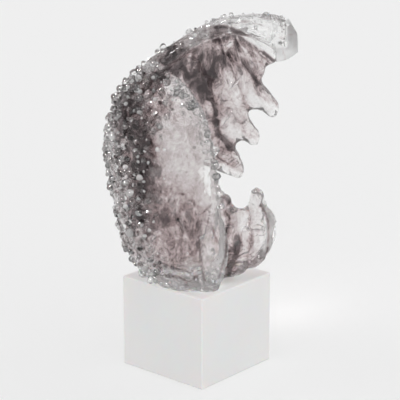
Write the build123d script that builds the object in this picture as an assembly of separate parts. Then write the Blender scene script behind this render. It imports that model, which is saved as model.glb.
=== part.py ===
from build123d import *

import os
from math import cos, radians, sin, sqrt
from typing import NamedTuple

# Stand: a frosted block, and the clear bond that holds the wave on it
BLOCK_SIDE = 100.0
BLOCK_HEIGHT = 89.0
BLOCK_EASE = 1.0
BLOCK_TURN = 49.0
BOND_THICKNESS = 0.4
BOND_CENTRE = (-12.0, -22.0)
BOND_RADII = (24.0, 22.0)

# Wave walls: how far each wall's section runs round its ellipse, in degrees
CURL_FAR = 105.0
CURL_NEAR = 120.0
RIM_BULGE = 0.28
HOLLOW_LEAST = 0.2


class Station(NamedTuple):
    """One rib of a glass wall, standing square to the wave's own plane.

    The rib leaves the spine, swells by its depth and comes back in at the rim.
    Spine and rim are (along, up) from the middle of the block's top.
    """

    spine: tuple
    rim: tuple
    depth: float
    wall: float


# Far side, from the breaking crest down the back and round to the lower lip
SHOULDER = Station((-55.0, 194.5), (14.0, 97.0), 46.0, 13.0)
HEEL = Station((-60.0, 19.0), (17.0, 60.0), 47.0, 14.0)
CREST_END_X = 80.0
HOOD = [
    SHOULDER,
    Station((-31.0, 215.5), (33.0, 112.0), 46.0, 13.0),
    Station((-8.0, 230.5), (43.0, 139.0), 46.0, 13.0),
    Station((17.0, 243.0), (52.0, 160.0), 44.0, 13.0),
    Station((42.0, 248.0), (61.0, 184.0), 40.0, 12.0),
    Station((66.0, 248.5), (72.0, 204.0), 34.0, 12.0),
    Station((CREST_END_X, 244.0), (CREST_END_X, 214.0), 28.0, 11.0),
]
BACK = [
    SHOULDER,
    Station((-76.0, 165.5), (6.0, 92.0), 49.0, 13.0),
    Station((-82.0, 137.5), (2.0, 86.0), 51.0, 13.0),
    Station((-82.0, 107.0), (2.0, 80.0), 52.0, 14.0),
    Station((-76.0, 72.0), (5.0, 74.0), 52.0, 14.0),
    Station((-70.0, 42.0), (10.0, 68.0), 50.0, 14.0),
    HEEL,
]
LIP = [
    HEEL,
    Station((-38.0, 3.0), (27.0, 56.0), 45.0, 13.0),
    Station((-8.0, -1.0), (38.0, 53.0), 43.0, 12.0),
    Station((22.0, 1.0), (51.0, 55.0), 40.0, 12.0),
    Station((46.0, 6.0), (64.0, 57.0), 36.0, 11.0),
    Station((64.0, 16.0), (74.0, 50.0), 30.0, 10.0),
    Station((72.0, 28.0), (76.0, 44.0), 22.0, 8.0),
]

# Near side: the tall petal
PETAL = [
    Station((-41.0, -1.0), (9.0, -1.0), 49.0, 18.0),
    Station((-60.0, 19.0), (14.0, 20.0), 53.0, 18.0),
    Station((-70.0, 42.0), (19.0, 44.0), 56.0, 18.0),
    Station((-76.0, 72.0), (20.0, 76.0), 58.0, 16.0),
    Station((-82.0, 107.0), (17.0, 114.0), 58.0, 14.0),
    Station((-82.0, 137.5), (12.0, 145.0), 55.0, 13.0),
    Station((-76.0, 165.5), (2.0, 172.0), 46.0, 12.0),
    Station((-64.0, 185.0), (-14.0, 192.0), 32.0, 10.0),
    Station((-51.5, 197.8), (-32.0, 200.5), 14.0, 6.0),
]


class Bit(NamedTuple):
    """One rib of a solid bar that swells to the near side of the wave's plane."""

    spine: tuple
    rim: tuple
    depth: float


# Clear bits laid on hot: the brow along the crest and the keel under the lip
BROW = [
    Bit((-51.5, 197.8), (-42.5, 187.8), 7.0),
    Bit((-19.0, 223.6), (-11.5, 212.0), 8.0),
    Bit((7.0, 238.6), (12.5, 225.5), 10.0),
    Bit((33.5, 246.8), (38.0, 231.0), 20.0),
    Bit((60.0, 248.3), (64.0, 222.0), 25.0),
    Bit((CREST_END_X, 244.0), (CREST_END_X, 212.0), 26.0),
]
KEEL = [
    Bit((12.0, 0.0), (15.0, 10.0), 38.0),
    Bit((30.0, 2.2), (33.0, 12.0), 25.0),
    Bit((48.0, 6.8), (50.0, 15.0), 16.0),
    Bit((64.0, 16.0), (66.0, 22.0), 8.0),
]


class Limb(NamedTuple):
    """A pulled lobe of glass: its way through the air, and its half widths on the way.

    The half widths are at the root, the hem, the neck and the tip. Its half
    thickness, across the wave's plane, is never more than its half width.
    """

    root: tuple
    bend: tuple
    tip: tuple
    widths: tuple
    thickness: float = 7.0


# Fingers pulled out of the crest's hem, horns pulled up from the lip's, and the
# clear column that thickens the foot of the petal's rim
FINGERS = {
    "crest_finger_upper": Limb(
        (35.0, 30.0, 182.0), (57.0, 35.0, 164.0), (75.5, 33.0, 150.5), (13.0, 13.5, 10.0, 6.0)
    ),
    "crest_finger_middle": Limb(
        (25.0, 33.0, 144.0), (43.0, 37.0, 131.5), (57.5, 34.0, 123.5), (12.0, 15.0, 9.5, 7.5)
    ),
    "crest_finger_lower": Limb(
        (10.0, 35.0, 118.0), (26.0, 37.0, 103.5), (41.0, 32.0, 89.0), (12.0, 15.0, 11.5, 7.0)
    ),
}
HORNS = {
    "lip_horn_left": Limb(
        (24.0, 41.0, 34.0), (25.5, 38.0, 50.0), (27.0, 33.0, 66.0), (11.0, 13.0, 9.0, 5.5)
    ),
    "lip_horn_right": Limb(
        (55.0, 38.0, 30.0), (57.0, 34.0, 54.0), (57.5, 29.0, 73.0), (11.0, 13.0, 8.0, 5.5)
    ),
}
COLUMN = Limb((7.0, -42.0, -4.0), (15.0, -49.0, 40.0), (11.0, -50.0, 80.0), (8.0, 13.0, 11.5, 5.0), 10.0)
LIMB_SHARES = (0.0, 0.45, 0.75, 1.0)
LIMB_EASE = 0.5

# Clear end of the crest, ground flat on its slopes and its end.
# Each section is (distance past the crest's end, half width, bottom, top).
TIP = [
    (-9.0, 26.0, 210.0, 246.5),
    (0.0, 27.0, 212.0, 244.0),
    (6.0, 25.0, 215.0, 240.0),
    (12.0, 18.0, 218.0, 230.0),
]

# Clear gather that fills the bottom of the wave
GATHER_CENTRE = (-9.0, -18.0)
GATHER_RADII = (24.0, 25.0, 19.0)


class Coat(NamedTuple):
    """A band of granules picked up on the outside of one wall.

    Start and end are shares of the wall's length, and across gives the shares
    of its width that the band covers, counted from the spine.
    """

    wall: str
    count: int
    start: float
    end: float
    across: tuple
    least: float
    most: float


# Granules of crushed glass, by where they lie, with least and most radius
COATS = {
    "petal_granules": [
        Coat("near_petal", 104, 0.07, 0.96, (0.03, 0.47), 2.2, 3.4),
        Coat("near_petal", 16, 0.78, 0.95, (0.50, 0.88), 1.9, 2.9),
        Coat("near_petal", 14, 0.07, 0.22, (0.50, 0.86), 1.9, 2.9),
    ],
    "back_granules": [Coat("back_wall", 68, 0.04, 0.96, (0.04, 0.44), 2.2, 3.4)],
    "crest_granules": [Coat("crest_hood", 26, 0.04, 0.90, (0.06, 0.46), 1.5, 2.8)],
    "brow_granules": [
        Coat("crest_brow", 14, 0.40, 0.84, (0.20, 0.80), 1.4, 2.2),
        Coat("crest_brow", 1, 0.86, 0.90, (0.10, 0.10), 3.4, 3.4),
    ],
    "lip_granules": [Coat("lower_lip", 12, 0.66, 0.94, (0.10, 0.60), 1.5, 2.6)],
}
BEAD_COUNT = 13
BEAD_SPAN = (0.42, 0.93)
BEAD_RADII = (2.4, 3.4)
GRANULE_SIDES = 3
GRANULE_SEAT = 0.02
GOLDEN = 0.618034
SILVER = 0.414214


def rib(station: Station, side: int) -> Wire:
    """Closed outline of one wall at a station; side is +1 far, -1 near."""
    along = station.rim[0] - station.spine[0]
    up = station.rim[1] - station.spine[1]
    reach = sqrt(along**2 + up**2)
    curl = CURL_FAR if side > 0 else CURL_NEAR
    half = reach / (1 - cos(radians(curl)))
    inner_half = max(half - station.wall, HOLLOW_LEAST * half)
    inner_depth = max(station.depth - station.wall, HOLLOW_LEAST * station.depth)
    outer = EllipticalCenterArc((half, 0), half, station.depth, 180 - curl, arc_size=curl)
    inner = EllipticalCenterArc((half, 0), inner_half, inner_depth, 180 - curl, arc_size=curl)
    edge = outer @ 0 - inner @ 0
    middle = (outer @ 0 + inner @ 0) / 2
    rim = ThreePointArc(outer @ 0, middle + Vector(edge.Y, -edge.X) * RIM_BULGE, inner @ 0)
    base = Line(outer @ 1, inner @ 1)
    along_dir = Vector(along, 0, up).normalized()
    across_dir = Vector(0, side, 0)
    origin = (station.spine[0], 0, station.spine[1])
    plane = Plane(origin=origin, x_dir=along_dir, z_dir=along_dir.cross(across_dir))
    return plane * Wire([outer, rim, inner, base])


def wall(stations: list, side: int) -> Solid:
    """Wall of glass that passes through its ribs in turn."""
    return Solid.make_loft([rib(station, side) for station in stations])


def bar(bits: list) -> Solid:
    """Solid bar of glass with a half-oval section, flat on the wave's plane."""
    sections = []
    for bit in bits:
        reach = Vector(bit.rim[0] - bit.spine[0], 0, bit.rim[1] - bit.spine[1])
        half = reach.length / 2
        oval = EllipticalCenterArc((half, 0), half, bit.depth, 0, arc_size=180)
        origin = (bit.spine[0], 0, bit.spine[1])
        plane = Plane(origin=origin, x_dir=reach.normalized(), z_dir=reach.cross(Vector(0, -1, 0)))
        sections.append(plane * Wire([oval, Line(oval @ 1, oval @ 0)]))
    return Solid.make_loft(sections)


def ring(path: Edge, share: float, half_width: float, thickness: float) -> Wire:
    """Oval square to a path, at a share of its length, wide in the wave's plane."""
    forward = path % share
    plane = Plane(path @ share, x_dir=forward.cross(Vector(0, 1, 0)), z_dir=forward)
    return Wire([Edge.make_ellipse(half_width, min(half_width, thickness), plane)])


def limb(shape: Limb) -> Solid:
    """Tapered lobe along an arc, with an eased end."""
    path = ThreePointArc(shape.root, shape.bend, shape.tip)
    rings = [ring(path, *pair, shape.thickness) for pair in zip(LIMB_SHARES, shape.widths)]
    body = Solid.make_loft(rings)
    end = body.faces().sort_by_distance(shape.tip)[0]
    return chamfer(end.edges(), LIMB_EASE * shape.widths[-1]).solid()


def tip_section(past: float, half_width: float, bottom: float, top: float) -> Face:
    """Arched section across the crest's clear end."""
    arch = EllipticalCenterArc((0, 0), half_width, top - bottom, 0, arc_size=180)
    outline = arch + Line(arch @ 1, arch @ 0)
    plane = Plane(origin=(CREST_END_X + past, 0, bottom), x_dir=(0, 1, 0), z_dir=(1, 0, 0))
    return plane * make_face(outline)


def granule(radius: float, turn: float) -> Solid:
    """Crushed bead on a flat seat."""
    points = [(0, 0, 1.6 * radius)]
    for height, share, shift in ((0, 0.7, 0), (0.8, 1, 0.5)):
        for side in range(GRANULE_SIDES):
            angle = radians(360 * (side + shift) / GRANULE_SIDES + turn)
            points.append((radius * share * cos(angle), radius * share * sin(angle), radius * height))
    return ConvexPolyhedron(points).solid()


def seated(face: Face, u: float, v: float, radius: float, turn: float) -> Solid:
    """Granule standing on a face."""
    normal = face.normal_at(u, v)
    spot = face.position_at(u, v) + normal * GRANULE_SEAT
    return Plane(spot, z_dir=normal) * granule(radius, turn)


def coat(face: Face, band: Coat) -> list:
    """Granules spread evenly over a band of a wall's outside."""
    stones = []
    for index in range(band.count):
        v = band.start + (band.end - band.start) * (index + 0.5) / band.count
        across = band.across[0] + (band.across[1] - band.across[0]) * (index * GOLDEN % 1)
        radius = band.least + (band.most - band.least) * (index * SILVER % 1)
        stones.append(seated(face, 1 - across, v, radius, 360 * (index * GOLDEN % 1)))
    return stones


def beads(face: Face) -> Compound:
    """Row of clear beads down the petal's rim."""
    row = []
    for index in range(BEAD_COUNT):
        v = BEAD_SPAN[0] + (BEAD_SPAN[1] - BEAD_SPAN[0]) * index / (BEAD_COUNT - 1)
        radius = BEAD_RADII[0] + (BEAD_RADII[1] - BEAD_RADII[0]) * (index * GOLDEN % 1)
        row.append(seated(face, 0.5, v, radius, 0))
    return Compound(children=row)


def largest(shape: Compound) -> Solid:
    """Main body of a trimmed piece."""
    return max(shape.solids(), key=lambda solid: solid.volume)


def outer_face(solid: Solid) -> Face:
    """Outside of a wall: of its two broad faces, the one farther from the wave's plane."""
    broad = solid.faces().sort_by(SortBy.AREA)[-2:]
    return max(broad, key=lambda face: abs(face.center().Y))


def rim_face(solid: Solid) -> Face:
    """Rounded edge of the petal, which lies farthest along."""
    return max(solid.faces(), key=lambda face: face.center().X)


def main() -> None:
    """Build every piece and write one file for each."""
    os.makedirs("parts", exist_ok=True)
    foot_level = BLOCK_HEIGHT + BOND_THICKNESS

    # The stand stays below the foot's level
    block = Box(BLOCK_SIDE, BLOCK_SIDE, BLOCK_HEIGHT, align=(Align.CENTER, Align.CENTER, Align.MIN))
    block = Rot(0, 0, BLOCK_TURN) * chamfer(block.edges(), BLOCK_EASE)
    bond = Pos(*BOND_CENTRE, BLOCK_HEIGHT) * extrude(Ellipse(*BOND_RADII), BOND_THICKNESS)

    # Walls, each blown and pulled on its own side of the wave's plane
    walls = {
        "crest_hood": wall(HOOD, 1),
        "back_wall": wall(BACK, 1),
        "lower_lip": wall(LIP, 1),
        "near_petal": wall(PETAL, -1),
        "crest_brow": bar(BROW),
        "lip_keel": bar(KEEL),
    }
    wave = {}
    for name, bands in COATS.items():
        stones = [coat(outer_face(walls[band.wall]), band) for band in bands]
        wave[name] = Compound(children=sum(stones, []))
    wave["rim_beads"] = beads(rim_face(walls["near_petal"]))

    # The foot is ground flat
    grinding = Box(4 * BLOCK_SIDE, 4 * BLOCK_SIDE, BLOCK_SIDE, align=(Align.CENTER, Align.CENTER, Align.MAX))
    for name in ("near_petal", "lower_lip"):
        walls[name] = largest(walls[name] - grinding)
    for name in ("lip_keel", "crest_brow"):
        walls[name] = largest(walls[name] - walls["near_petal"] - grinding)
    wave.update(walls)

    # The gather fills the bottom between the walls
    gather = Pos(*GATHER_CENTRE, 0) * scale(Sphere(1), by=GATHER_RADII) - grinding
    for name in ("near_petal", "lower_lip", "lip_keel"):
        gather = gather - walls[name]
    wave["foot_gather"] = largest(gather)

    # Fingers, horns, the column and the clear end are fused on to the trimmed walls
    for name, shape in FINGERS.items():
        wave[name] = largest(limb(shape) - walls["crest_hood"] - walls["back_wall"])
    for name, shape in HORNS.items():
        wave[name] = largest(limb(shape) - walls["lower_lip"] - walls["back_wall"])
    column = limb(COLUMN) - grinding
    for name in ("near_petal", "lower_lip", "lip_keel"):
        column = column - walls[name]
    wave["rim_column"] = largest(column - wave["foot_gather"])
    tip = loft([tip_section(*section) for section in TIP], ruled=True)
    wave["crest_tip"] = largest(tip - walls["crest_hood"] - walls["crest_brow"])

    pieces = {name: Pos(0, 0, foot_level) * piece for name, piece in wave.items()}
    pieces["plinth_block"] = block
    pieces["foot_bond"] = bond
    for name, piece in pieces.items():
        export_step(piece, f"parts/{name}.step")


if __name__ == "__main__":
    main()
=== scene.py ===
"""Dresses a tabletop glass wave: smoked hot-worked glass with a coat of granules, on a frosted block."""

import logging
from dataclasses import dataclass, field
from enum import Enum
from math import cos, radians, sin

import bmesh
import bpy
import numpy as np
from bpy.types import ID, Material, Mesh, Node, NodeSocket, NodeTree, Object, bpy_prop_collection
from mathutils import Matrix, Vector, noise
from mathutils.bvhtree import BVHTree
from numpy import ndarray


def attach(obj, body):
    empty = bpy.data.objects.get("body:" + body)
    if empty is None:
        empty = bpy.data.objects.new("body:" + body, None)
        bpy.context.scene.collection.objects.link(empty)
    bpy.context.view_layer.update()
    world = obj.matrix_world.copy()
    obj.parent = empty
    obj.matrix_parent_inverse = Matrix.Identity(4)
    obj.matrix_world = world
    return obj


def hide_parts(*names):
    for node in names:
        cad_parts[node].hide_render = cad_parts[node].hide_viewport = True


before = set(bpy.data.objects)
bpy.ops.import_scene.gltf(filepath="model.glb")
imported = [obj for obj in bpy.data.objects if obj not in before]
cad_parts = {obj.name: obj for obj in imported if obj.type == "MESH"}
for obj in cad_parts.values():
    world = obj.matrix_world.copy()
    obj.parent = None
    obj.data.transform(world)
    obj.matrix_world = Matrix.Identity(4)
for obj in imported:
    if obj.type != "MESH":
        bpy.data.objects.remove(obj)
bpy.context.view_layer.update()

LOG = logging.getLogger("glass_wave")
MM = 0.001
BODY = "root"
WELD = 0.002 * MM

Colour = tuple[float, float, float]
Point2 = tuple[float, float]
Point3 = tuple[float, float, float]


class Wall(Enum):
    """The parts of the wave, by how they are coloured and coated."""

    PETAL = 0
    BACK = 1
    CREST = 2
    LIP = 3
    BROW = 4
    TIP = 5
    FINGER = 6
    HORN = 7
    FOOT = 8
    COLUMN = 9


PETAL, BACK, CREST, LIP, BROW, TIP, FINGER, HORN, FOOT, COLUMN = Wall

WAVE_NODES: dict[str, Wall] = {
    "near_petal": PETAL,
    "back_wall": BACK,
    "crest_hood": CREST,
    "lower_lip": LIP,
    "lip_keel": LIP,
    "crest_brow": BROW,
    "crest_tip": TIP,
    "crest_finger_upper": FINGER,
    "crest_finger_middle": FINGER,
    "crest_finger_lower": FINGER,
    "lip_horn_left": HORN,
    "lip_horn_right": HORN,
    "foot_gather": FOOT,
    "rim_column": COLUMN,
}

SIDES = (PETAL, BACK)
PETAL_EDGE = (PETAL, COLUMN)
FAR = (BACK, CREST, FINGER)
HOOD = (BACK, CREST, FINGER, BROW)
CREST_END = (TIP, BROW)
LIPS = (LIP, HORN)

# How far a noise pattern moves for each step of its seed
SEED_STEP = (7.13, 3.71, 5.29)


@dataclass(frozen=True)
class Ease:
    """A soft step: from start at low to end at high."""

    low: float
    high: float
    start: float = 0.0
    end: float = 1.0

    def __call__(self, value: ndarray) -> ndarray:
        """Eases every number."""
        t = np.clip((value - self.low) / (self.high - self.low), 0.0, 1.0)
        return self.start + (self.end - self.start) * t * t * (3.0 - 2.0 * t)


@dataclass(frozen=True)
class NoiseField:
    """Smooth noise: the size of one swell in metres, and a seed that shifts the pattern."""

    scale: float
    seed: float

    def __call__(self, points: ndarray) -> ndarray:
        """Numbers from about -1 to 1 at places in metres, one row each."""
        shift = Vector([self.seed * step for step in SEED_STEP])
        return np.array([noise.noise(Vector(p) / self.scale + shift) for p in points])


def path_distance(flat: ndarray, path: list[Point2]) -> ndarray:
    """Finds how far points in the wave's plane lie from a path, in millimetres.

    Args:
        flat: The points, as (along, up) rows.
        path: The corners of the path.

    Returns:
        The least distance of each point.
    """
    nearest = np.full(len(flat), np.inf)
    for start, end in zip(path[:-1], path[1:]):
        a = np.array(start)
        run = np.array(end) - a
        t = np.clip(((flat - a) @ run) / (run @ run), 0.0, 1.0)
        nearest = np.minimum(nearest, np.linalg.norm(flat - a - t[:, None] * run, axis=1))
    return nearest


def path_mask(flat: ndarray, path: list[Point2], width: float) -> ndarray:
    """1 on a path in the wave's plane, fading to 0 across its width in millimetres."""
    return np.exp(-((path_distance(flat, path) / width) ** 2))


def new_object(name: str, data: ID) -> Object:
    """Links a mesh, a camera or a lamp to the scene at the origin.

    Args:
        name: The object's name.
        data: The mesh, camera or lamp.

    Returns:
        The object.
    """
    piece = bpy.data.objects.new(name, data)
    bpy.context.scene.collection.objects.link(piece)
    return piece


def finished_mesh(work: bmesh.types.BMesh, name: str) -> Mesh:
    """Turns work in progress into a mesh.

    Args:
        work: The work, which is used up.
        name: The mesh's name.

    Returns:
        The mesh.
    """
    mesh = bpy.data.meshes.new(name)
    work.to_mesh(mesh)
    work.free()
    return mesh


def evaluated_mesh(piece: Object, name: str) -> Mesh:
    """Turns an object with its modifiers into a plain mesh.

    Args:
        piece: The object.
        name: The mesh's name.

    Returns:
        The mesh.
    """
    graph = bpy.context.evaluated_depsgraph_get()
    mesh = bpy.data.meshes.new_from_object(piece.evaluated_get(graph))
    mesh.name = name
    return mesh


def merged_node(name: str) -> bmesh.types.BMesh:
    """Welds a copy of a CAD node's loose triangles.

    Args:
        name: The node's name.

    Returns:
        The copy, as work in progress.
    """
    copy = bmesh.new()
    copy.from_mesh(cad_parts[name].data)
    bmesh.ops.remove_doubles(copy, verts=copy.verts, dist=WELD)
    copy.normal_update()
    return copy


def read_rows(source: bpy_prop_collection, key: str) -> ndarray:
    """Reads three numbers for each item.

    Args:
        source: The items.
        key: What the numbers are called.

    Returns:
        One row for each item.
    """
    rows = np.empty(len(source) * 3, np.float32)
    source.foreach_get(key, rows)
    return rows.reshape(-1, 3).astype(float)


def places_of(mesh: Mesh) -> ndarray:
    """The vertices' places, as rows."""
    return read_rows(mesh.vertices, "co")


def normals_of(mesh: Mesh) -> ndarray:
    """The vertices' normals, as rows."""
    return read_rows(mesh.vertex_normals, "vector")


def write_vertices(mesh: Mesh, places: ndarray) -> None:
    """Puts places back into a mesh."""
    mesh.vertices.foreach_set("co", places.astype(np.float32).ravel())
    mesh.update()


def write_attribute(mesh: Mesh, name: str, values: ndarray) -> None:
    """Stores one number or one vector for each vertex under a name."""
    kind, key = ("FLOAT", "value") if values.ndim == 1 else ("FLOAT_VECTOR", "vector")
    mesh.attributes.new(name, kind, "POINT").data.foreach_set(key, values.astype(np.float32).ravel())


def neighbours(mesh: Mesh) -> tuple[ndarray, ndarray]:
    """Finds which vertices are joined by edges.

    Args:
        mesh: The mesh.

    Returns:
        Rows of a vertex and a neighbour of it, and how many neighbours each vertex has.
    """
    edges = np.empty(len(mesh.edges) * 2, np.int32)
    mesh.edges.foreach_get("vertices", edges)
    pairs = edges.reshape(-1, 2)
    ends = np.concatenate([pairs, pairs[:, ::-1]])
    return ends, np.bincount(ends[:, 0], minlength=len(mesh.vertices))


SOFT_STEP = {"interpolation_type": "SMOOTHSTEP"}


@dataclass
class Tree:
    """A node tree under construction."""

    tree: NodeTree

    def add(self, kind: str, options: dict[str, object] | None = None, **inputs: object) -> Node:
        """Adds a node.

        Args:
            kind: The node's type.
            options: The node's own settings.
            **inputs: The same as for put.

        Returns:
            The node.
        """
        node = self.tree.nodes.new(kind)
        for key, value in (options or {}).items():
            setattr(node, key, value)
        return self.put(node, **inputs)

    def put(self, node: Node, **inputs: object) -> Node:
        """Links or sets a node's inputs, by name with _ for a space or by index after a leading i.

        Args:
            node: The node.
            **inputs: An output socket to link, or a plain value.

        Returns:
            The same node.
        """
        for key, value in inputs.items():
            index = int(key[1:]) if key[0] == "i" and key[1:].isdigit() else key.replace("_", " ")
            if isinstance(value, NodeSocket):
                self.tree.links.new(value, node.inputs[index])
            else:
                node.inputs[index].default_value = value
        return node

    def math(self, operation: str, a: object, b: object = 0.0, clamp: bool = False) -> NodeSocket:
        """One step of arithmetic on numbers or sockets, kept between 0 and 1 where clamp is set."""
        options = {"operation": operation, "use_clamp": clamp}
        return self.add("ShaderNodeMath", options, i0=a, i1=b).outputs[0]

    def mix(self, factor: object, a: object, b: object) -> NodeSocket:
        """Mixes two colours: a factor of 0 gives the first, 1 the second."""
        return self.add("ShaderNodeMix", {"data_type": "RGBA"}, i0=factor, i6=a, i7=b).outputs[2]

    def ramp(self, value: object, ease: Ease) -> NodeSocket:
        """Eases a number."""
        ends = {"i1": ease.low, "i2": ease.high, "i3": ease.start, "i4": ease.end}
        return self.add("ShaderNodeMapRange", SOFT_STEP, i0=value, **ends).outputs[0]

    def noise(self, **inputs: object) -> NodeSocket:
        """A noise texture's value, with the texture's inputs by name."""
        return self.add("ShaderNodeTexNoise", **inputs).outputs["Fac"]

    def scaled(self, vector: object, factor: object) -> NodeSocket:
        """A vector drawn out by a factor."""
        return self.add("ShaderNodeVectorMath", {"operation": "SCALE"}, i0=vector, Scale=factor).outputs[0]


def rgba(colour: Colour) -> tuple[float, ...]:
    """A colour with full alpha."""
    return (*colour, 1.0)


def new_group(name: str, inputs: dict[str, object], outputs: dict[str, str]) -> Tree:
    """Starts a shader node group.

    Args:
        name: The group's name.
        inputs: Input names with their first values: a number, a vector of three or a colour of four.
        outputs: Output names with their socket types.

    Returns:
        The group's tree, with its own input and output nodes.
    """
    group = bpy.data.node_groups.new(name, "ShaderNodeTree")
    for label, value in inputs.items():
        kind = "Float" if isinstance(value, float) else {3: "Vector", 4: "Color"}[len(value)]
        socket = group.interface.new_socket(label, in_out="INPUT", socket_type="NodeSocket" + kind)
        socket.default_value = value
    for label, kind in outputs.items():
        group.interface.new_socket(label, in_out="OUTPUT", socket_type=kind)
    return Tree(group)


WISPS = {"Detail": 3.2, "Roughness": 0.5, "Distortion": 2.2}
WISP_SWING = 4.0
THREADS = {"Detail": 4.0, "Roughness": 0.55, "Distortion": 1.8}
THREAD_FINENESS = 2.2
THREAD_EDGE = Ease(0.0, 0.035)
THREAD_START = Ease(0.0, 0.1)
VIOLET_RANGE = Ease(0.0, 0.6)
DARK_RANGE = Ease(0.45, 1.0)
NOISE_MIDDLE = 0.5
WAVE_DETAIL = 2.0
PIT_DETAIL = 3.0


def smoke_group() -> NodeTree:
    """Colour of smoked glass: clear, violet-grey and nearly black, drawn out in wisps and fine threads.

    Returns:
        The node group.
    """
    inputs = {"Smoke": 0.0, "Flow": (0.0, 0.0, 0.0)}
    inputs |= dict.fromkeys(("Clear", "Violet", "Dark"), rgba((1.0, 1.0, 1.0)))
    inputs |= dict.fromkeys(("Wisp Scale", "Wisp Amount", "Thread Amount", "Thread Floor"), 0.1)
    tree = new_group("smoke_wisps", inputs, {"Colour": "NodeSocketColor"})
    given = tree.add("NodeGroupInput").outputs
    fineness = tree.math("MULTIPLY", given["Wisp Scale"], THREAD_FINENESS)
    wisps = tree.noise(Vector=given["Flow"], Scale=given["Wisp Scale"], **WISPS)
    fine = tree.noise(Vector=given["Flow"], Scale=fineness, **THREADS)
    swing = tree.math("MULTIPLY", tree.math("SUBTRACT", wisps, NOISE_MIDDLE), WISP_SWING)
    share = tree.math("ADD", tree.math("MULTIPLY", swing, given["Wisp Amount"]), 1.0)
    smoke = tree.math("MULTIPLY", given["Smoke"], share, clamp=True)
    offset = tree.math("ABSOLUTE", tree.math("SUBTRACT", fine, NOISE_MIDDLE))
    thread = tree.math("SUBTRACT", 1.0, tree.ramp(offset, THREAD_EDGE))
    floor = tree.math("MULTIPLY", tree.ramp(smoke, THREAD_START), given["Thread Floor"])
    lift = tree.math("MULTIPLY", tree.math("ADD", smoke, floor), given["Thread Amount"])
    smoke = tree.math("ADD", smoke, tree.math("MULTIPLY", thread, lift), clamp=True)
    pale = tree.mix(tree.ramp(smoke, VIOLET_RANGE), given["Clear"], given["Violet"])
    full = tree.mix(tree.ramp(smoke, DARK_RANGE), pale, given["Dark"])
    tree.add("NodeGroupOutput", Colour=full)
    return tree.tree


def ripple_group() -> NodeTree:
    """Height of the small waves and pits of a worked surface.

    Returns:
        The node group.
    """
    inputs = {"Wave Scale": 120.0, "Pit Scale": 900.0, "Pit Amount": 0.2}
    tree = new_group("worked_surface", inputs, {"Height": "NodeSocketFloat"})
    given = tree.add("NodeGroupInput").outputs
    place = tree.add("ShaderNodeTexCoord").outputs["Object"]
    waves = tree.noise(Vector=place, Scale=given["Wave Scale"], Detail=WAVE_DETAIL)
    pits = tree.noise(Vector=place, Scale=given["Pit Scale"], Detail=PIT_DETAIL)
    fine = tree.math("MULTIPLY", pits, given["Pit Amount"])
    tree.add("NodeGroupOutput", Height=tree.math("ADD", waves, fine))
    return tree.tree


@dataclass
class Groups:
    """The node groups that the finishes share."""

    smoke: NodeTree = field(default_factory=smoke_group)
    ripple: NodeTree = field(default_factory=ripple_group)

    def skin(self, tree: Tree, strength: float, depth: float, **inputs: float) -> NodeSocket:
        """Normal of a worked surface whose relief shows so strongly and is so deep, in metres."""
        relief = tree.add("ShaderNodeGroup", {"node_tree": self.ripple}, **inputs).outputs["Height"]
        return tree.add("ShaderNodeBump", Strength=strength, Distance=depth, Height=relief).outputs["Normal"]


def new_material(name: str) -> tuple[Material, Tree, Node]:
    """Starts a material.

    Args:
        name: The material's name.

    Returns:
        The material, its tree and its Principled shader.
    """
    material = bpy.data.materials.new(name)
    material.use_nodes = True
    tree = Tree(material.node_tree)
    shader = next(n for n in material.node_tree.nodes if n.type == "BSDF_PRINCIPLED")
    return material, tree, shader


@dataclass(frozen=True)
class WorkedGlass:
    """Hot-worked glass with smoke in it and a softly rippled skin."""

    name: str
    clear: Colour = (0.97, 0.972, 0.97)
    violet: Colour = (0.50, 0.395, 0.395)
    dark: Colour = (0.045, 0.032, 0.034)
    wisp_scale: float = 0.10
    wisp_amount: float = 0.9
    thread_amount: float = 0.8
    thread_floor: float = 0.1
    transmission: float = 0.9
    smoke_share: float = 1.0
    wave_scale: float = 160.0
    pit_amount: float = 0.12
    ripple: float = 0.6
    ripple_depth: float = 0.7 * MM
    roughness: float = 0.03
    ior: float = 1.5

    def material(self, groups: Groups) -> Material:
        """Makes the finish.

        Args:
            groups: The shared node groups.

        Returns:
            The material, which reads the vertices' smoke and painted shade.
        """
        material, tree, shader = new_material(self.name)
        stain, flow, haze = (
            tree.add("ShaderNodeAttribute", {"attribute_name": name}).outputs
            for name in ("smoke", "flow", "haze")
        )
        smoke = tree.add(
            "ShaderNodeGroup",
            {"node_tree": groups.smoke},
            Smoke=tree.math("MULTIPLY", stain["Fac"], self.smoke_share),
            Flow=flow["Vector"],
            Clear=rgba(self.clear),
            Violet=rgba(self.violet),
            Dark=rgba(self.dark),
            Wisp_Scale=self.wisp_scale,
            Wisp_Amount=self.wisp_amount,
            Thread_Amount=self.thread_amount,
            Thread_Floor=self.thread_floor,
        )
        waves = {"Wave_Scale": self.wave_scale, "Pit_Amount": self.pit_amount}
        tree.put(
            shader,
            Base_Color=smoke.outputs["Colour"],
            Normal=groups.skin(tree, self.ripple, self.ripple_depth, **waves),
            Roughness=tree.math("ADD", haze["Fac"], self.roughness),
            IOR=self.ior,
            Transmission_Weight=self.transmission,
        )
        return material


@dataclass(frozen=True)
class Granule(WorkedGlass):
    """Crushed glass, fire-polished and without threads."""

    thread_amount: float = 0.0
    transmission: float = 1.0
    ripple: float = 0.05
    roughness: float = 0.01


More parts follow.
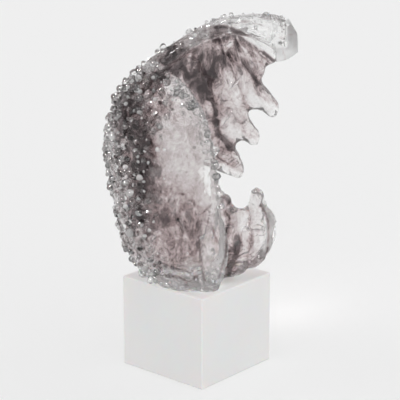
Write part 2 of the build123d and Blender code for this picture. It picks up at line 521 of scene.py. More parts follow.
@dataclass(frozen=True)
class FrostedGlass:
    """A sanded, milky block."""

    name: str
    colour: Colour = (0.82, 0.822, 0.82)
    cloud: Colour = (0.76, 0.765, 0.762)
    cloud_scale: float = 9.0
    cloud_detail: float = 3.0
    roughness: float = 0.55
    grain_scale: float = 1400.0
    grain: float = 0.12
    grain_depth: float = 0.05 * MM
    pit_amount: float = 0.6
    glow: float = 0.25
    glow_reach: float = 0.02

    def material(self, groups: Groups) -> Material:
        """Makes the finish.

        Args:
            groups: The shared node groups.

        Returns:
            The material.
        """
        material, tree, shader = new_material(self.name)
        place = tree.add("ShaderNodeTexCoord").outputs["Object"]
        cloud = tree.noise(Vector=place, Scale=self.cloud_scale, Detail=self.cloud_detail)
        grain = {"Wave_Scale": self.grain_scale, "Pit_Amount": self.pit_amount}
        tree.put(
            shader,
            Base_Color=tree.mix(cloud, rgba(self.colour), rgba(self.cloud)),
            Normal=groups.skin(tree, self.grain, self.grain_depth, **grain),
            Roughness=self.roughness,
            Subsurface_Weight=self.glow,
            Subsurface_Scale=self.glow_reach,
        )
        return material


@dataclass(frozen=True)
class Stroke:
    """A wisp of colour or a line of painted shade, laid in a wall along a path in the wave's plane, in
    millimetres.

    Where groove isn't 0 the glass is also creased along the path, that deep, and the colour along it is
    painted shade in the crease. A patchy wisp is broken up along its way.
    """

    walls: tuple[Wall, ...]
    path: list[Point2]
    width: float
    depth: float
    groove: float = 0.0
    patchy: float = 0.0

    def trace(self, flat: ndarray) -> ndarray:
        """How strongly the stroke shows at points in the wave's plane, from 0 to 1."""
        return path_mask(flat, self.path, self.width)


@dataclass(frozen=True)
class Facet:
    """A flat ground on a wall: what lies past the plane comes off. Millimetres."""

    wall: Wall
    point: Point3
    normal: Point3


@dataclass(frozen=True)
class Knob:
    """A big bead melted on to the wave: where, how wide and how high. Millimetres."""

    point: Point3
    radius: float
    height: float


@dataclass(frozen=True)
class Oval:
    """An oval in the wave's plane: its middle and its half sizes, in millimetres."""

    middle: Point2
    reach: Point2

    def distance(self, flat: ndarray) -> ndarray:
        """How far points lie from the middle: 1 on the oval itself."""
        return np.hypot(*((flat - np.array(self.middle)) / np.array(self.reach)).T)


@dataclass(frozen=True)
class Pleats:
    """Waves pressed into a wall: their pitch, where one peaks and their depth, in millimetres.

    A share of waves of half the pitch, turned by an angle in radians, makes them uneven.
    """

    pitch: float
    at: float
    depth: float
    share: float
    angle: float

    def height(self, across: ndarray) -> ndarray:
        """How far the pleats stand out, in millimetres."""
        turn = 2.0 * np.pi * (across - self.at) / self.pitch
        return self.depth * (np.cos(turn) + self.share * np.cos(2.0 * turn + self.angle))


BROW_LINE = [(9, 328), (16, 330), (26, 330), (39, 324), (50, 318), (59, 312), (66, 307), (73, 300)]
BROW_LINE_DEPTH = -16.0
BROW_SLANT = 0.3
SMOKE_AND_CREASE_SHADE = [
    # The petal's dark band, painted shade in the crease along its upper edge, and the violet low in its
    # middle
    Stroke(
        SIDES, [(-64, 254), (-56, 232), (-52, 213), (-50, 194), (-50, 175), (-51, 156)], 14.0, 1.0, patchy=0.8
    ),
    Stroke((PETAL,), [(-78, 258), (-70, 271), (-62, 278), (-50, 282), (-36, 281)], 8.0, 0.55, patchy=0.4),
    Stroke((PETAL,), [(-40, 287), (-30, 286), (-18, 281), (-7, 268), (3, 254), (12, 235)], 2.0, 0.9, 1.6),
    Stroke((PETAL,), [(-20, 165), (-11, 150), (-7, 135)], 20.0, 0.34),
    Stroke((PETAL,), [(-40, 262), (-22, 262)], 9.0, 0.2, patchy=0.5),
    # The crest's cloud, its dark tongue, and painted shade in the creases between its pleats
    Stroke(HOOD, [(-40, 284), (-23, 294), (-8, 293), (5, 286)], 17.0, 0.5, patchy=0.3),
    Stroke(HOOD, [(-22, 281), (-10, 277), (-1, 270), (7, 258)], 7.0, 0.55, patchy=0.2),
    Stroke(HOOD, [(25, 296), (19, 291), (15, 279), (11, 268), (8, 258)], 3.6, 0.75, 0.8),
    Stroke(HOOD, [(8, 262), (6, 253)], 4.5, 0.7),
    Stroke(HOOD, [(17, 316), (30, 318), (38, 315)], 7.0, 0.45),
    Stroke(HOOD, [(26, 302), (36, 288)], 8.0, 0.15),
    Stroke(HOOD, [(42, 312), (58, 299)], 9.0, 0.14),
    Stroke(FAR, [(36, 308), (40, 294), (47, 281), (54, 270), (59, 260)], 2.8, 0.6, 2.2),
    Stroke(FAR, [(59, 260), (67, 253), (76, 244)], 1.6, 0.4, 1.2),
    Stroke(FAR, [(27, 294), (33, 280), (41, 259), (49, 239)], 2.4, 0.3, 1.8),
    Stroke(FAR, [(8, 252), (14, 250), (18, 242), (19, 231), (20, 221), (24, 209), (32, 201)], 3.0, 0.65, 2.0),
    Stroke(FAR, [(33, 242), (36, 236), (41, 229), (49, 221), (57, 215)], 2.2, 0.5, 1.6),
    Stroke(FAR, [(14, 226), (22, 208), (32, 198)], 9.0, 0.40, patchy=0.8),
    Stroke(FAR, [(11, 212), (16, 200), (24, 192), (36, 186), (43, 180)], 2.0, 0.5, 1.4),
    # The lip's folds with painted shade in them, and the caps of its horns
    Stroke(LIPS, [(30, 152), (26, 143), (31, 133), (29, 123), (27, 113), (30, 101)], 2.4, 0.5, 2.0),
    Stroke(LIPS, [(34, 142), (31, 120)], 7.0, 0.14),
    Stroke(LIPS, [(41, 114), (36, 103), (27, 94)], 2.6, 0.75, 1.5),
    Stroke(LIPS, [(51, 143), (53, 118), (48, 96)], 3.0, 0.3, 1.8),
    Stroke((HORN,), [(26, 155), (30, 153)], 3.0, 0.5),
]
PAINTED_SHADE_LINES = [
    # Painted shade: dark lines along the edges of the crest's clear end
    Stroke(CREST_END, [(76, 322), (84, 323), (91, 324)], 1.0, 0.35),
    Stroke(CREST_END, [(76, 322), (77, 312), (79, 302)], 1.0, 0.35),
    # Painted shade: the column's dark outline and the grey of its ground flat
    Stroke(PETAL_EDGE, [(13, 174), (5, 166), (1, 155), (1, 139), (3, 121), (8, 102)], 1.2, 0.45, 2.4),
    Stroke(PETAL_EDGE, [(19, 172), (27, 161), (28, 146), (27, 127), (21, 106)], 1.3, 0.7, 1.6),
    Stroke((COLUMN,), [(7, 160), (14, 155), (19, 139)], 1.0, 0.3),
    Stroke((COLUMN,), [(9, 157), (15, 142)], 4.0, 0.2),
    # Painted shade: dark lines in the crinkles of the foot, and the dark line inside the lip's clear end
    Stroke((PETAL,), [(-34, 118), (-20, 113), (-4, 111)], 1.2, 0.45, 1.2),
    Stroke((PETAL,), [(-29, 105), (-17, 104), (-6, 100), (1, 106)], 1.2, 0.5, 1.2),
    Stroke((PETAL,), [(-11, 102), (-9, 94)], 1.0, 0.4),
    Stroke(LIPS, [(60, 150), (66, 142), (69, 130), (67, 113), (61, 100)], 1.0, 0.65),
]
FACETS = [
    Facet(TIP, (91.2, 0.0, 310.0), (1.0, 0.0, 0.0)),
    Facet(COLUMN, (9.0, -57.5, 146.0), (-0.38, -0.82, 0.42)),
    Facet(COLUMN, (23.0, -55.0, 124.0), (0.70, -0.70, 0.05)),
    Facet(COLUMN, (12.0, -58.5, 112.0), (-0.10, -0.97, -0.22)),
]
KNOBS = [Knob((62.6, -8.0, 336.8), 3.6, 4.6), Knob((15.0, 2.0, 333.0), 3.0, 2.6)]
STREAKS = [((CREST, FINGER), (17.0, 365.0), 95.0), (LIPS, (37.0, 20.0), 100.0)]
BARE_OVAL = Oval((-12.0, 180.0), (26.0, 74.0))
CLEAR_SPOT = Oval((-43.0, 291.0), (6.0, 6.0))
PALE_SPOTS = [
    ((PETAL,), Oval((-18.0, 228.0), (20.0, 34.0)), 0.55),
    ((CREST, FINGER), Oval((36.0, 238.0), (11.0, 14.0)), 0.5),
]
# Shares by wall: how smoked, cleared, crinkled, calm, melted thin and ground rough each is
BASE_SMOKE = {PETAL: 0.22, BACK: 0.22, CREST: 0.36, LIP: 0.25, BROW: 0.28, FINGER: 0.16, HORN: 0.16}
CLEARED = {FINGER: 0.45, COLUMN: 0.8}
CRINKLED = {PETAL: 1.0, LIP: 1.0, COLUMN: 0.9, HORN: 0.7, BROW: 0.4}
CALMED = {TIP: 1.0, COLUMN: 0.5, LIP: 1.0}
MELTED = {HORN: 1.0, FINGER: 0.5, LIP: 1.0}
HAZED = {TIP: 0.4, LIP: 0.3, BROW: 0.1, COLUMN: 0.05, HORN: 0.04}
OUTWARD = {
    PETAL: (-0.55, -0.83, 0.0),
    BACK: (-0.6, 0.8, 0.0),
    CREST: (-0.3, 0.7, 0.65),
    LIP: (0.1, 0.5, -0.86),
    BROW: (0.0, -0.2, 0.98),
}
SMOOTHING = (0.5, -0.52)
MELTING = (0.5,)
RIM_PATH = [(21, 172), (20, 187), (17, 205), (13, 226), (8, 242), (1, 255), (-7, 267), (-17, 278)]


@dataclass
class WaveBody:
    """The wave's walls, fused hot into one mass of glass."""

    name: str = "wave_glass"
    slot: str = "smoked_glass"
    voxel: float = 1.5 * MM
    swell: float = 0.35 * MM
    join: float = 3.2 * MM
    relax_rounds: int = 10
    settle_rounds: int = 2
    melt_rounds: int = 6
    blend_rounds: int = 30
    wall_reach: float = 8.0 * MM
    foot: float = 89.42 * MM
    facing_out: Ease = Ease(-0.05, 0.3)
    facing_near: Ease = Ease(-0.2, 0.3)
    flutes: Pleats = Pleats(29.0, 112.0, 1.8, 0.35, 1.0)
    flute_lean: float = 32.0
    flute_start: Ease = Ease(-20.0, 25.0)
    folds: Pleats = Pleats(31.5, 27.0, 1.4, 0.4, 0.6)
    fold_start: Ease = Ease(100.0, 120.0)
    lumps: NoiseField = NoiseField(11.0 * MM, 1.0)
    small_lumps: NoiseField = NoiseField(5.5 * MM, 2.0)
    small_share: float = 0.5
    lump_depth: float = 0.7 * MM
    crinkles: NoiseField = NoiseField(6.0 * MM, 3.0)
    crinkle_level: float = 0.3
    crinkle_depth: float = 3.6 * MM
    crinkled_rim: float = 8.0
    crinkled_rim_share: float = 0.75
    crinkled_foot: Ease = Ease(100.0, 116.0, 1.0, 0.0)
    crinkled_keel: Ease = Ease(98.0, 106.0, 1.0, 0.0)
    right_horn: Ease = Ease(40.0, 50.0)
    oval_edge: Ease = Ease(0.9, 1.35)
    oval_right: Ease = Ease(-6.0, 8.0, 1.0, 0.1)
    crest_start: Ease = Ease(2.0, 10.0)
    crest_over: Ease = Ease(1.0, 4.0)
    lip_end_start: Ease = Ease(60.0, 68.0)
    drift: NoiseField = NoiseField(16.0 * MM, 5.0)
    drift_share: float = 0.8
    drift_reach: float = 2.5
    clumps: NoiseField = NoiseField(13.0 * MM, 8.0)
    clump_edge: Ease = Ease(-0.3, 0.3)
    # Painted shade: dark noise patches between the petal's granules
    gaps: NoiseField = NoiseField(5.0 * MM, 6.0)
    gap_edge: Ease = Ease(0.0, 0.25)
    gap_depth: float = 0.42
    clear_share: float = 0.9
    clear_rim: Ease = Ease(7.0, 16.0, 0.95, 0.0)
    clear_lip: Ease = Ease(57.0, 65.0)
    clear_foot: Ease = Ease(96.0, 114.0, 0.9, 0.0)
    pale_border: Ease = Ease(-76.0, -62.0, 0.35, 0.0)
    brow_start: Ease = Ease(10.0, 20.0)
    brow_depth: float = 0.8
    brow_width: float = 1.3
    streak_stretch: float = 0.5
    streak_size: float = 0.6
    streak_depth: float = 0.6
    petal_stretch: float = 0.6
    petal_size: float = 0.75
    finish: WorkedGlass = WorkedGlass("smoked_glass_worked")
    places: ndarray = field(init=False)
    normals: ndarray = field(init=False)
    wall: ndarray = field(init=False)

    def fused(self) -> Mesh:
        """Joins swollen copies of the walls and melts them into one closed skin.

        Returns:
            The skin, drawn back in again, which keeps a round hollow along every join.
        """
        joined = bmesh.new()
        for node in WAVE_NODES:
            part = merged_node(node)
            for vertex in part.verts:
                vertex.co += vertex.normal * (self.swell + self.join)
            piece = finished_mesh(part, node + "_copy")
            joined.from_mesh(piece)
            bpy.data.meshes.remove(piece)
        mesh = finished_mesh(joined, "wave_joined")
        raw = new_object("wave_joined", mesh)
        melt = raw.modifiers.new("melt", "REMESH")
        melt.mode = "VOXEL"
        melt.voxel_size = self.voxel
        melt.adaptivity = 0.0
        skin = evaluated_mesh(raw, self.name)
        bpy.data.objects.remove(raw)
        bpy.data.meshes.remove(mesh)
        self.keep_outer_shell(skin)
        self.relax(skin, self.relax_rounds)
        write_vertices(skin, places_of(skin) - self.join * normals_of(skin))
        return skin

    def keep_outer_shell(self, mesh: Mesh) -> None:
        """Keeps the largest shell of a mesh and drops the bubbles between the walls.

        Args:
            mesh: The mesh, which is changed.
        """
        ends, _ = neighbours(mesh)
        shell = np.arange(len(mesh.vertices))
        before = shell[:0]
        while not np.array_equal(before, shell):
            before = shell.copy()
            np.minimum.at(shell, ends[:, 0], before[ends[:, 1]])
            shell = shell[shell]
        largest = np.bincount(shell).argmax()
        work = bmesh.new()
        work.from_mesh(mesh)
        stray = [vertex for vertex, number in zip(work.verts, shell) if number != largest]
        bmesh.ops.delete(work, geom=stray, context="VERTS")
        work.to_mesh(mesh)
        work.free()

    def relax(
        self, mesh: Mesh, rounds: int, weights: tuple[float, ...] = SMOOTHING, where: float | ndarray = 1.0
    ) -> None:
        """Smooths the skin as heat does; two weights of unlike sign keep it from shrinking.

        Args:
            mesh: The mesh to smooth.
            rounds: How many times.
            weights: How far each vertex goes toward its neighbours' middle, in turn.
            where: How much of that each vertex takes, from 0 to 1.
        """
        share = np.broadcast_to(where, len(mesh.vertices))[:, None]
        ends, count = neighbours(mesh)
        places = places_of(mesh)
        for _ in range(rounds):
            for weight in weights:
                mean = np.stack(
                    [np.bincount(ends[:, 0], places[ends[:, 1], k], len(places)) for k in range(3)], axis=1
                )
                places += weight * share * (mean / count[:, None] - places)
        write_vertices(mesh, places)

    def name_walls(self) -> ndarray:
        """Finds which wall each vertex belongs to.

        Returns:
            The number of the nearest wall for each vertex.
        """
        best = np.full(len(self.places), np.inf)
        nearest = np.zeros(len(self.places), int)
        for node, wall in WAVE_NODES.items():
            part = merged_node(node)
            lookup = BVHTree.FromBMesh(part)
            part.free()
            for i, place in enumerate(self.places):
                found = lookup.find_nearest(place, self.wall_reach)[3]
                if found is not None and found < best[i]:
                    best[i] = found
                    nearest[i] = wall.value
        return nearest

    def blended(self, mesh: Mesh, values: ndarray, rounds: int) -> ndarray:
        """Spreads the vertices' numbers over the skin, so that they run into each other.

        Args:
            mesh: The skin.
            values: The numbers.
            rounds: How many times.

        Returns:
            The spread numbers.
        """
        ends, count = neighbours(mesh)
        for _ in range(rounds):
            values = 0.5 * values + 0.5 * np.bincount(ends[:, 0], values[ends[:, 1]], len(values)) / count
        return values

    def on(self, *walls: Wall) -> ndarray:
        """Which vertices lie on these walls, as 1 or 0."""
        return np.isin(self.wall, [w.value for w in walls]).astype(float)

    def by_wall(self, table: dict[Wall, float], where: dict[Wall, ndarray] | None = None) -> ndarray:
        """Each vertex's number in a table by wall, times how far the wall takes it there, and 0 elsewhere."""
        shares = where or {}
        return sum(value * shares.get(wall, 1.0) * self.on(wall) for wall, value in table.items())

    def outer(self, wall: Wall) -> ndarray:
        """How far each vertex faces out of a wall, from 0 inside to 1 outside."""
        return self.facing_out(self.normals @ np.array(OUTWARD[wall]))

    def flat(self) -> ndarray:
        """The vertices in the wave's plane, as (along, up) rows in millimetres."""
        return self.places[:, ::2] / MM

    def front(self) -> ndarray:
        """How far each vertex faces the wave's near side, from 0 to 1."""
        return self.facing_near(-self.normals[:, 1])

    def ripple(self) -> ndarray:
        """Works the skin: flutes, folds, grooves, knobs, lumps and crinkles.

        Returns:
            How far the tool marks move each vertex along its normal, in metres.
        """
        x, z = self.flat().T
        lean = radians(self.flute_lean)
        across = x * cos(lean) + (z - self.foot / MM) * sin(lean)
        inner = self.on(CREST, FINGER) * (1.0 - self.outer(CREST))
        push = self.flutes.height(across) * inner * self.flute_start(x)
        push += self.folds.height(x) * self.on(*LIPS) * self.fold_start(z)
        for stroke in SMOKE_AND_CREASE_SHADE + PAINTED_SHADE_LINES:
            if stroke.groove:
                push -= self.on(*stroke.walls) * stroke.groove * stroke.trace(self.flat()) * self.front()
        for knob in KNOBS:
            near = np.linalg.norm(self.places / MM - np.array(knob.point), axis=1) / knob.radius
            push += knob.height * np.exp(-(near**4))
        lumps = self.lumps(self.places) + self.small_share * self.small_lumps(self.places)
        calm = self.by_wall(CALMED, {LIP: self.lip_end()})
        crinkles = self.crinkle_level - np.abs(self.crinkles(self.places))
        return (
            push * MM
            + self.lump_depth * lumps * (1.0 - calm)
            + self.crinkle_depth * crinkles * self.crinkled()
        )

    def crinkled(self) -> ndarray:
        """Finds the crinkled places.

        Returns:
            How crinkled each vertex is, from 0 to 1.
        """
        x, z = self.flat().T
        rim = self.crinkled_rim_share * path_mask(self.flat(), RIM_PATH, self.crinkled_rim)
        where = {
            PETAL: np.maximum(rim, self.crinkled_foot(z)),
            LIP: self.crinkled_keel(z),
            HORN: self.right_horn(x),
            BROW: self.clear_crest(),
        }
        return self.by_wall(CRINKLED, where)

    def grind(self) -> None:
        """Takes off what lies past the facets, and flattens the foot."""
        for facet in FACETS:
            way = np.array(facet.normal) / np.linalg.norm(facet.normal)
            past = (self.places - np.array(facet.point) * MM) @ way
            self.places -= (np.maximum(past, 0.0) * self.on(facet.wall))[:, None] * way
        self.places[:, 2] = np.maximum(self.places[:, 2], self.foot)

    def flow(self) -> ndarray:
        """Lays out the streaks: fanned out from above the crest and below the lip, and upright on the petal.

        Returns:
            Where each vertex lies across the streaks, along them and deep, in millimetres.
        """
        rows = self.places / MM
        across = rows[:, 0].copy()
        along = rows[:, 2].copy()
        for walls, centre, reach in STREAKS:
            from_centre = self.flat() - np.array(centre)
            turn = np.arctan2(from_centre[:, 0], np.abs(from_centre[:, 1]))
            on = self.on(*walls).astype(bool)
            across[on] = (turn * reach)[on]
            along[on] = np.linalg.norm(from_centre, axis=1)[on]
        petal = self.on(PETAL).astype(bool)
        stretch = np.where(petal, self.petal_stretch, self.streak_stretch)
        size = np.where(petal, self.petal_size, self.streak_size)
        return size[:, None] * np.stack([across, stretch * along, self.streak_depth * rows[:, 1]], axis=1)

    def around_oval(self) -> ndarray:
        """How far each vertex lies outside the oval that the petal's coat leaves bare, from 0 to 1."""
        flat = self.flat()
        return self.oval_edge(BARE_OVAL.distance(flat)) * self.oval_right(flat[:, 0])

    def over_brow(self) -> ndarray:
        """How far each vertex lies above the brow's line, in millimetres."""
        x, z = self.flat().T
        return z + BROW_SLANT * (self.places[:, 1] / MM - BROW_LINE_DEPTH) - np.interp(x, *zip(*BROW_LINE))

    def clear_crest(self) -> ndarray:
        """How far each vertex lies beyond the brow's line, in the crest's clear end, from 0 to 1."""
        crest = self.on(BROW, CREST, TIP)
        return crest * self.crest_start(self.flat()[:, 0]) * self.crest_over(self.over_brow())

    def lip_end(self) -> ndarray:
        """How far each vertex lies in the lip's clear right end, from 0 to 1."""
        return self.on(LIP) * self.lip_end_start(self.flat()[:, 0])

    def cleared(self) -> ndarray:
        """Finds where the glass is clear or pale.

        Returns:
            What share of the smoke is left at each vertex.
        """
        flat = self.flat()
        x, z = flat.T
        spot = np.exp(-(CLEAR_SPOT.distance(flat) ** 4))
        taken = [
            self.clear_share * np.maximum(self.clear_crest(), spot),
            self.on(*LIPS) * self.clear_lip(x),
            self.on(PETAL) * self.clear_rim(path_distance(flat, RIM_PATH)),
            self.on(PETAL) * self.clear_foot(z),
            self.on(*SIDES) * self.pale_border(x),
            self.by_wall(CLEARED),
        ]
        for walls, oval, share in PALE_SPOTS:
            taken.append(share * self.on(*walls) * np.exp(-(oval.distance(flat) ** 2)))
        return np.prod(1.0 - np.array(taken), axis=0)

    def stain(self, mesh: Mesh) -> ndarray:
        """Colours the wave, and paints shade into its creases, along its edges and between the petal's
        granules.

        Args:
            mesh: The wave's mesh.

        Returns:
            How much smoke and painted shade each vertex shows, from 0 to 1.
        """
        flat = self.flat()
        drift = self.drift(self.places)
        clump = self.clump_edge(self.clumps(self.places))
        base = self.blended(mesh, self.by_wall(BASE_SMOKE), self.blend_rounds)
        smoke = base * (1.0 + self.drift_share * drift)
        # Smoke in wisps, and painted shade in the creases of the grooved strokes
        for stroke in SMOKE_AND_CREASE_SHADE:
            share = stroke.depth * (1.0 - stroke.patchy * (1.0 - clump))
            smoke += self.on(*stroke.walls) * share * stroke.trace(flat + self.drift_reach * drift[:, None])
        # Painted shade between the granules of the petal's coat
        gaps = self.gap_edge(self.gaps(self.places))
        smoke += self.gap_depth * gaps * self.on(PETAL) * self.around_oval()
        smoke *= self.cleared()

        # Thin lines show in the clear glass as well: the brow's line, and painted shade along the edges,
        # flats and creases of the near faces
        brow = self.on(CREST, BROW) * self.brow_start(flat[:, 0])
        smoke += self.brow_depth * brow * np.exp(-((self.over_brow() / self.brow_width) ** 2))
        for line in PAINTED_SHADE_LINES:
            smoke += self.on(*line.walls) * self.front() * line.depth * line.trace(flat + drift[:, None])
        return np.clip(smoke, 0.0, 1.0)

    def haze(self) -> ndarray:
        """How much rougher than polished each vertex is, from 0 to 1: the ends and flats are ground."""
        return self.by_wall(HAZED, {LIP: self.lip_end(), BROW: self.clear_crest()})

    def read(self, mesh: Mesh) -> None:
        """Takes the vertices' places and normals from the mesh."""
        self.places = places_of(mesh)
        self.normals = normals_of(mesh)

    def build(self) -> Object:
        """Fuses, works and colours the wave.

        Returns:
            The wave's object.
        """
        mesh = self.fused()
        self.relax(mesh, self.settle_rounds)
        self.read(mesh)
        self.wall = self.name_walls()
        thin = self.by_wall(MELTED, {LIP: self.lip_end()})
        self.relax(mesh, self.melt_rounds, MELTING, thin)
        self.read(mesh)
        self.places += self.ripple()[:, None] * self.normals
        write_vertices(mesh, self.places)
        self.relax(mesh, self.settle_rounds)
        self.places = places_of(mesh)
        self.grind()
        write_vertices(mesh, self.places)
        self.normals = normals_of(mesh)
        # The smoke attribute holds painted shade as well as the glass's own smoke
        write_attribute(mesh, "smoke", self.stain(mesh))
        write_attribute(mesh, "flow", self.flow())
        write_attribute(mesh, "haze", self.blended(mesh, self.haze(), self.settle_rounds))
        mesh.polygons.foreach_set("use_smooth", [True] * len(mesh.polygons))
        return new_object(self.name, mesh)

    def dress(self, piece: Object, groups: Groups) -> None:
        """Gives the wave its glass and its place in the frame.

        Args:
            piece: The wave's object.
            groups: The shared node groups.
        """
        piece.data.materials.clear()
        piece.data.materials.append(self.finish.material(groups))
        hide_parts(*WAVE_NODES)
        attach(piece, BODY)


class Tone(Enum):
    """The kinds of glass among the granules, in the order of the coats' materials."""

    CLEAR = 0
    MILKY = 1
    SMOKED = 2


@dataclass(frozen=True)
class Grain:
    """One size of granule: how far apart, how big, how high it sits and how many sides it has."""

    spacing: float
    least: float
    most: float
    rise: float
    segments: int
    rings: int
    tone: Tone = Tone.CLEAR
    round: bool = True


BEADS = Grain(9.5 * MM, 2.2 * MM, 4.2 * MM, 0.6, 12, 7)
RIM_BEADS = Grain(8.0 * MM, 3.2 * MM, 4.6 * MM, 0.6, 12, 7)
LOW_BEADS = Grain(11.0 * MM, 2.0 * MM, 3.6 * MM, 0.45, 12, 7)
MILKY_BEADS = Grain(17.0 * MM, 1.8 * MM, 3.4 * MM, 0.5, 12, 7, Tone.MILKY)
PEBBLES = Grain(6.2 * MM, 1.2 * MM, 2.4 * MM, 0.4, 6, 4, round=False)
MILKY_PEBBLES = Grain(9.5 * MM, 1.0 * MM, 2.0 * MM, 0.4, 6, 4, Tone.MILKY, round=False)
SMOKED_PEBBLES = Grain(9.0 * MM, 1.2 * MM, 2.4 * MM, 0.25, 6, 4, Tone.SMOKED, round=False)
GRIT = Grain(4.6 * MM, 0.7 * MM, 1.3 * MM, 0.2, 5, 3, round=False)

GRANULE_INPUTS = {
    "Geometry": ("Geometry",),
    "Float": ("Spacing", "Least", "Most", "Rise", "Roughen"),
    "Int": ("Segments", "Rings", "Seed"),
    "Bool": ("Round",),
    "Material": ("Finish",),
}
GRAINS_MOST = 1.0e6
GRAIN_SKEW = 1.8
GRAIN_LEAST = (0.78, 0.78, 0.78)
GRAIN_MOST = (1.18, 1.18, 1.18)
GRAIN_SEED = 11
NO_TURN = (0.0, 0.0, 0.0)
FULL_TURN = (6.28, 6.28, 6.28)
TURN_SEED = 23
PULL_SCALE = 330.0


def granule_tree() -> NodeTree:
    """Geometry nodes that scatter glass granules where the coat attribute says.

    Returns:
        The node tree.
    """
    group = bpy.data.node_groups.new("granule_coat", "GeometryNodeTree")
    for kind, labels in GRANULE_INPUTS.items():
        for label in labels:
            group.interface.new_socket(label, in_out="INPUT", socket_type="NodeSocket" + kind)
    group.interface.new_socket("Geometry", in_out="OUTPUT", socket_type="NodeSocketGeometry")
    tree = Tree(group)
    given = tree.add("NodeGroupInput").outputs

    # Points on the skin, no two nearer than the spacing
    coat = tree.add("GeometryNodeInputNamedAttribute", {"data_type": "FLOAT"}, Name="coat")
    spread = tree.add(
        "GeometryNodeDistributePointsOnFaces",
        {"distribute_method": "POISSON"},
        Mesh=given["Geometry"],
        Distance_Min=given["Spacing"],
        Density_Max=GRAINS_MOST,
        Density_Factor=coat.outputs["Attribute"],
        Seed=given["Seed"],
    ).outputs

    # A radius for each, with more small ones than big ones, and a place partly out of the skin
    number, vector = {"data_type": "FLOAT"}, {"data_type": "FLOAT_VECTOR"}
    chance = tree.add("FunctionNodeRandomValue", number, i2=0.0, i3=1.0, Seed=given["Seed"])
    skew = tree.math("POWER", chance.outputs[1], GRAIN_SKEW)
    span = tree.math("SUBTRACT", given["Most"], given["Least"])
    radius = tree.math("ADD", given["Least"], tree.math("MULTIPLY", skew, span))
    lift = tree.scaled(spread["Normal"], tree.math("MULTIPLY", radius, given["Rise"]))
    lifted = tree.add("GeometryNodeSetPosition", Geometry=spread["Points"], Offset=lift)

    # Pebbles of uneven shape, turned every way
    sides = {"Segments": given["Segments"], "Rings": given["Rings"]}
    pebble = tree.add("GeometryNodeMeshUVSphere", **sides, Radius=1.0)
    shape = tree.add("FunctionNodeRandomValue", vector, i0=GRAIN_LEAST, i1=GRAIN_MOST, Seed=GRAIN_SEED)
    turn = tree.add("FunctionNodeRandomValue", vector, i0=NO_TURN, i1=FULL_TURN, Seed=TURN_SEED)
    laid = tree.add(
        "GeometryNodeInstanceOnPoints",
        Points=lifted.outputs[0],
        Instance=pebble.outputs[0],
        Rotation=turn.outputs[0],
        Scale=tree.scaled(shape.outputs[0], radius),
    )
    real = tree.add("GeometryNodeRealizeInstances", Geometry=laid.outputs[0])

    # Heat has pulled each one a little out of round
    pull = tree.add("ShaderNodeTexNoise", Scale=PULL_SCALE, Detail=1.0).outputs["Color"]
    centred = tree.add("ShaderNodeVectorMath", {"operation": "SUBTRACT"}, i0=pull, i1=(NOISE_MIDDLE,) * 3)
    push = tree.scaled(centred.outputs[0], given["Roughen"])
    bent = tree.add("GeometryNodeSetPosition", Geometry=real.outputs[0], Offset=push)
    smooth = tree.add("GeometryNodeSetShadeSmooth", Geometry=bent.outputs[0], Shade_Smooth=given["Round"])
    faced = tree.add("GeometryNodeSetMaterial", Geometry=smooth.outputs[0], Material=given["Finish"])
    tree.add("NodeGroupOutput", Geometry=faced.outputs[0])
    return group


class Measure(Enum):
    """What a coat thins out by: the place along or up the wave in millimetres, or how far it faces up."""

    ALONG = "along"
    UP = "up"
    FACING_UP = "facing up"


@dataclass
class GranuleBed:
    """What the coats are laid on and with: the wave, its object, the geometry nodes and the materials."""

    body: WaveBody
    skin: Object
    tree: NodeTree
    finishes: dict[Tone, Material]


@dataclass
class GranuleCoat:
    """Crushed glass picked up on the outside of one wall."""

    name: str
    node: str
    wall: Wall
    seed: int
    limits: tuple[tuple[Measure, Ease], ...] = ()
    grains: tuple[Grain, ...] = (BEADS, LOW_BEADS, MILKY_BEADS, PEBBLES, MILKY_PEBBLES, SMOKED_PEBBLES, GRIT)
    seed_step: int = 100
    roughen: float = 1.6 * MM
    above_foot: Ease = Ease(91.0, 96.0)
    clumps: NoiseField = NoiseField(12.0 * MM, 9.0)
    clump_edge: Ease = Ease(-0.4, 0.2, 0.3, 1.0)
    slot: str = "granule_glass"

    def cover(self, body: WaveBody) -> ndarray:
        """Finds where the coat lies.

        Args:
            body: The wave.

        Returns:
            How thickly each vertex is coated, from 0 to 1.
        """
        x, z = body.flat().T
        measures = {Measure.ALONG: x, Measure.UP: z, Measure.FACING_UP: body.normals[:, 2]}
        cover = body.on(self.wall) * body.outer(self.wall) * self.above_foot(z)
        cover *= self.clump_edge(self.clumps(body.places))
        for measure, limit in self.limits:
            cover *= limit(measures[measure])
        return cover

    def scatter(self, bed: GranuleBed) -> Mesh:
        """Lays every size of granule on the wave.

        Args:
            bed: What the coat is laid on and with.

        Returns:
            One plain mesh of all the granules.
        """
        ground = bed.skin.data.copy()
        write_attribute(ground, "coat", self.cover(bed.body))
        joined = bmesh.new()
        for number, grain in enumerate(self.grains):
            sown = new_object(self.name + "_bed", ground)
            modifier = sown.modifiers.new("coat", "NODES")
            modifier.node_group = bed.tree
            values = {label.capitalize(): value for label, value in vars(grain).items()}
            values["Roughen"] = self.roughen
            values["Seed"] = self.seed + self.seed_step * number
            values["Finish"] = bed.finishes[grain.tone]
            for item in bed.tree.interface.items_tree:
                if item.in_out == "INPUT" and item.name in values:
                    modifier[item.identifier] = values[item.name]
            layer = evaluated_mesh(sown, self.name + "_layer")
            layer.polygons.foreach_set("material_index", [grain.tone.value] * len(layer.polygons))
            joined.from_mesh(layer)
            bpy.data.objects.remove(sown)
            bpy.data.meshes.remove(layer)
        mesh = finished_mesh(joined, self.name)
        bpy.data.meshes.remove(ground)
        for tone in Tone:
            mesh.materials.append(bed.finishes[tone])
        return mesh

    def build(self, bed: GranuleBed) -> Object:
        """Makes the coat and gives it its place in the frame.

        Args:
            bed: What the coat is laid on and with.

        Returns:
            The coat's object.
        """
        piece = new_object(self.name, self.scatter(bed))
        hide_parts(self.node)
        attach(piece, BODY)
        return piece


